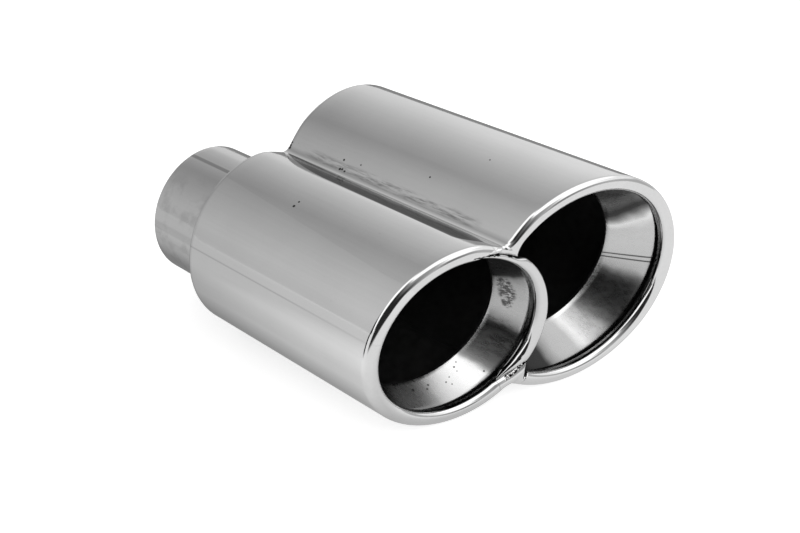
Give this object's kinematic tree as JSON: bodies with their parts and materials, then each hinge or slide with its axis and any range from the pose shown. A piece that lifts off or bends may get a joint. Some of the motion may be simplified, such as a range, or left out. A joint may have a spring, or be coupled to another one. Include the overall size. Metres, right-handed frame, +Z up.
{
  "type": "exhaust tip",
  "caption": "Polished steel exhaust tip: a waisted shell over a small and a large barrel with slanted rolled mouths, liners inside, and a round inlet pipe behind.",
  "frame": {"origin": "centre of the inlet pipe's open end, on the bore's axis", "axes": "+Y runs along the inlet bore and out of its open end, toward the tailpipe; the mouths face -Y; +Z is up; the large barrel lies toward +X"},
  "size_m": [0.133, 0.1744, 0.09],
  "materials": {
    "polished_skin": "mirror-polished stainless sheet with faint handling marks",
    "divider_steel": "polished stainless strip, joined by hand at both ends",
    "liner_steel": "drawn stainless sleeve with fine lines and a few specks",
    "large_liner_steel": "drawn stainless sleeve with one lengthwise seam",
    "plate_steel": "plain mill-finish stainless plate",
    "pipe_steel": "polished stainless tube, slightly hazy"
  },
  "bodies": {
    "root": {"outer_shell": "polished_skin", "mouth_divider": "divider_steel", "small_liner": "liner_steel", "large_liner": "large_liner_steel", "rear_plate": "plate_steel", "inlet_pipe": "pipe_steel"}
  },
  "joints": []
}
